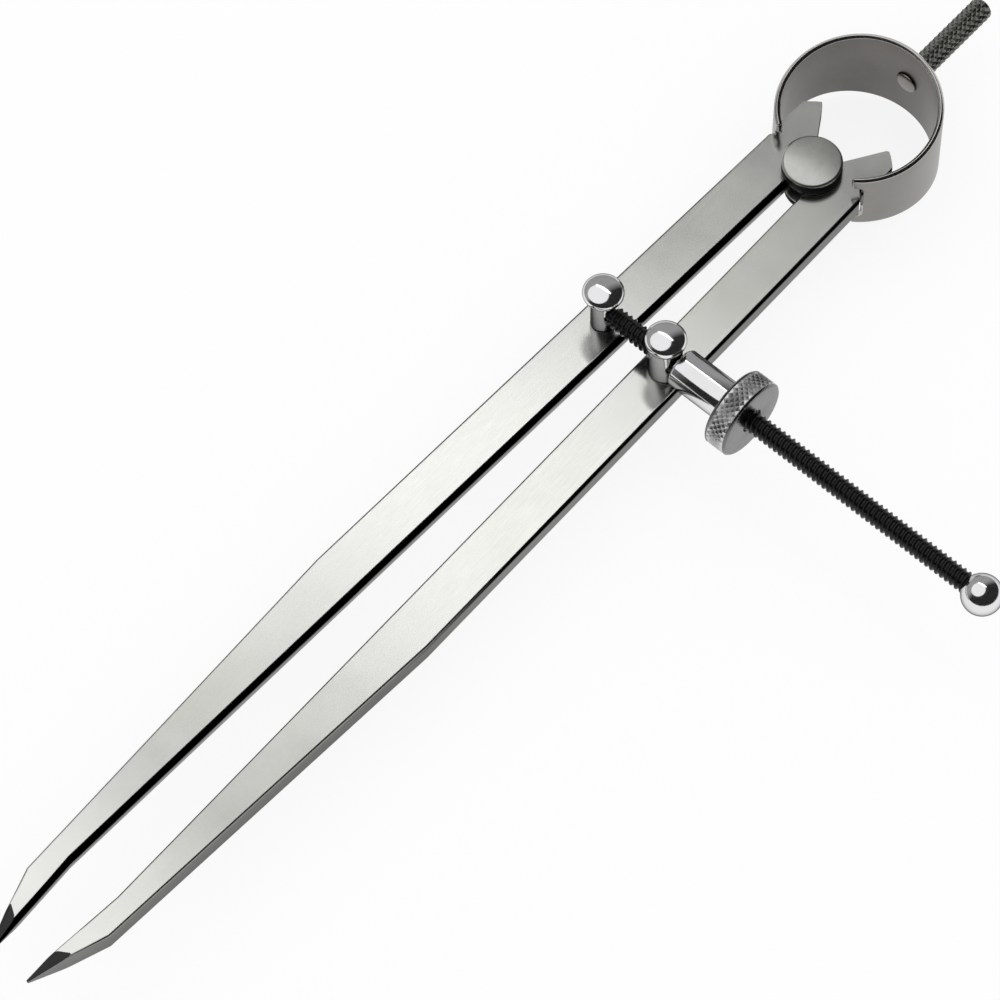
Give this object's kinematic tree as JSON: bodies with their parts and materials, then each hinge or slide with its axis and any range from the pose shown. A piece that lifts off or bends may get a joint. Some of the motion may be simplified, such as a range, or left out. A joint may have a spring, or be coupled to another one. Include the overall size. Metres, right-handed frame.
{
  "type": "spring divider",
  "caption": "Spring divider: two pointed flat legs pinched on a spool stud by a flat bow spring, opened and closed by a knurled nut on a long screw with a ball stop",
  "frame": {"origin": "the centre of the fulcrum stud's flat rear face", "axes": "+X to the right leg and the ball end of the screw, +Y from the leg points to the handle, +Z out of the front of the legs towards the heads of the posts"},
  "size_m": [0.0942, 0.247, 0.0233],
  "materials": {
    "spring_steel": "rolled spring steel, dull outside and dark inside",
    "handle_steel": "knurled",
    "satin_steel": "satin",
    "polished_steel": "finely ground and lightly polished",
    "bright_steel": "polished bright",
    "black_steel": "black oxide, threaded",
    "wheel_steel": "knurled rim, smooth ends"
  },
  "bodies": {
    "head": {"bow_spring": "spring_steel", "handle": "handle_steel", "fulcrum_stud": "satin_steel"},
    "left_leg": {"left_leg": "polished_steel"},
    "right_leg": {"right_leg": "polished_steel"},
    "left_post": {"left_post": "bright_steel", "left_post_washer": "satin_steel", "adjusting_screw": "black_steel", "screw_ball_end": "bright_steel"},
    "right_post": {"right_post": "bright_steel", "right_post_washer": "satin_steel"},
    "nut": {"nut_sleeve": "bright_steel", "nut_wheel": "wheel_steel"}
  },
  "joints": [
    {"name": "left_leg_swing", "type": "hinge", "parent": "head", "child": "left_leg", "pos_m": [0, 0, 0.00423], "axis": [0, 0, -1], "range_deg": [-1.02, 30.1], "deforming": ["bow_spring"]},
    {"name": "right_leg_swing", "type": "hinge", "parent": "head", "child": "right_leg", "pos_m": [0, 0, 0.00423], "axis": [0, 0, 1], "range_deg": [-1.02, 30.1], "deforming": ["bow_spring"]},
    {"name": "left_post_turn", "type": "hinge", "parent": "left_leg", "child": "left_post", "pos_m": [-0.00694, -0.04668, 0.00423], "axis": [0, 0, 1], "range_deg": [-1.02, 30.1]},
    {"name": "right_post_turn", "type": "hinge", "parent": "right_leg", "child": "right_post", "pos_m": [0.00694, -0.04668, 0.00423], "axis": [0, 0, -1], "range_deg": [-1.02, 30.1]},
    {"name": "nut_turn", "type": "hinge", "parent": "right_post", "child": "nut", "pos_m": [0.00694, -0.04668, 0.01078], "axis": [1, 0, 0], "range_deg": [-508, 15240]}
  ],
  "couplings": [
    {"joint": "left_leg_swing", "follows": "nut_turn", "ratio": 0.0019685},
    {"joint": "right_leg_swing", "follows": "nut_turn", "ratio": 0.0019685},
    {"joint": "left_post_turn", "follows": "nut_turn", "ratio": 0.0019685},
    {"joint": "right_post_turn", "follows": "nut_turn", "ratio": 0.0019685}
  ]
}
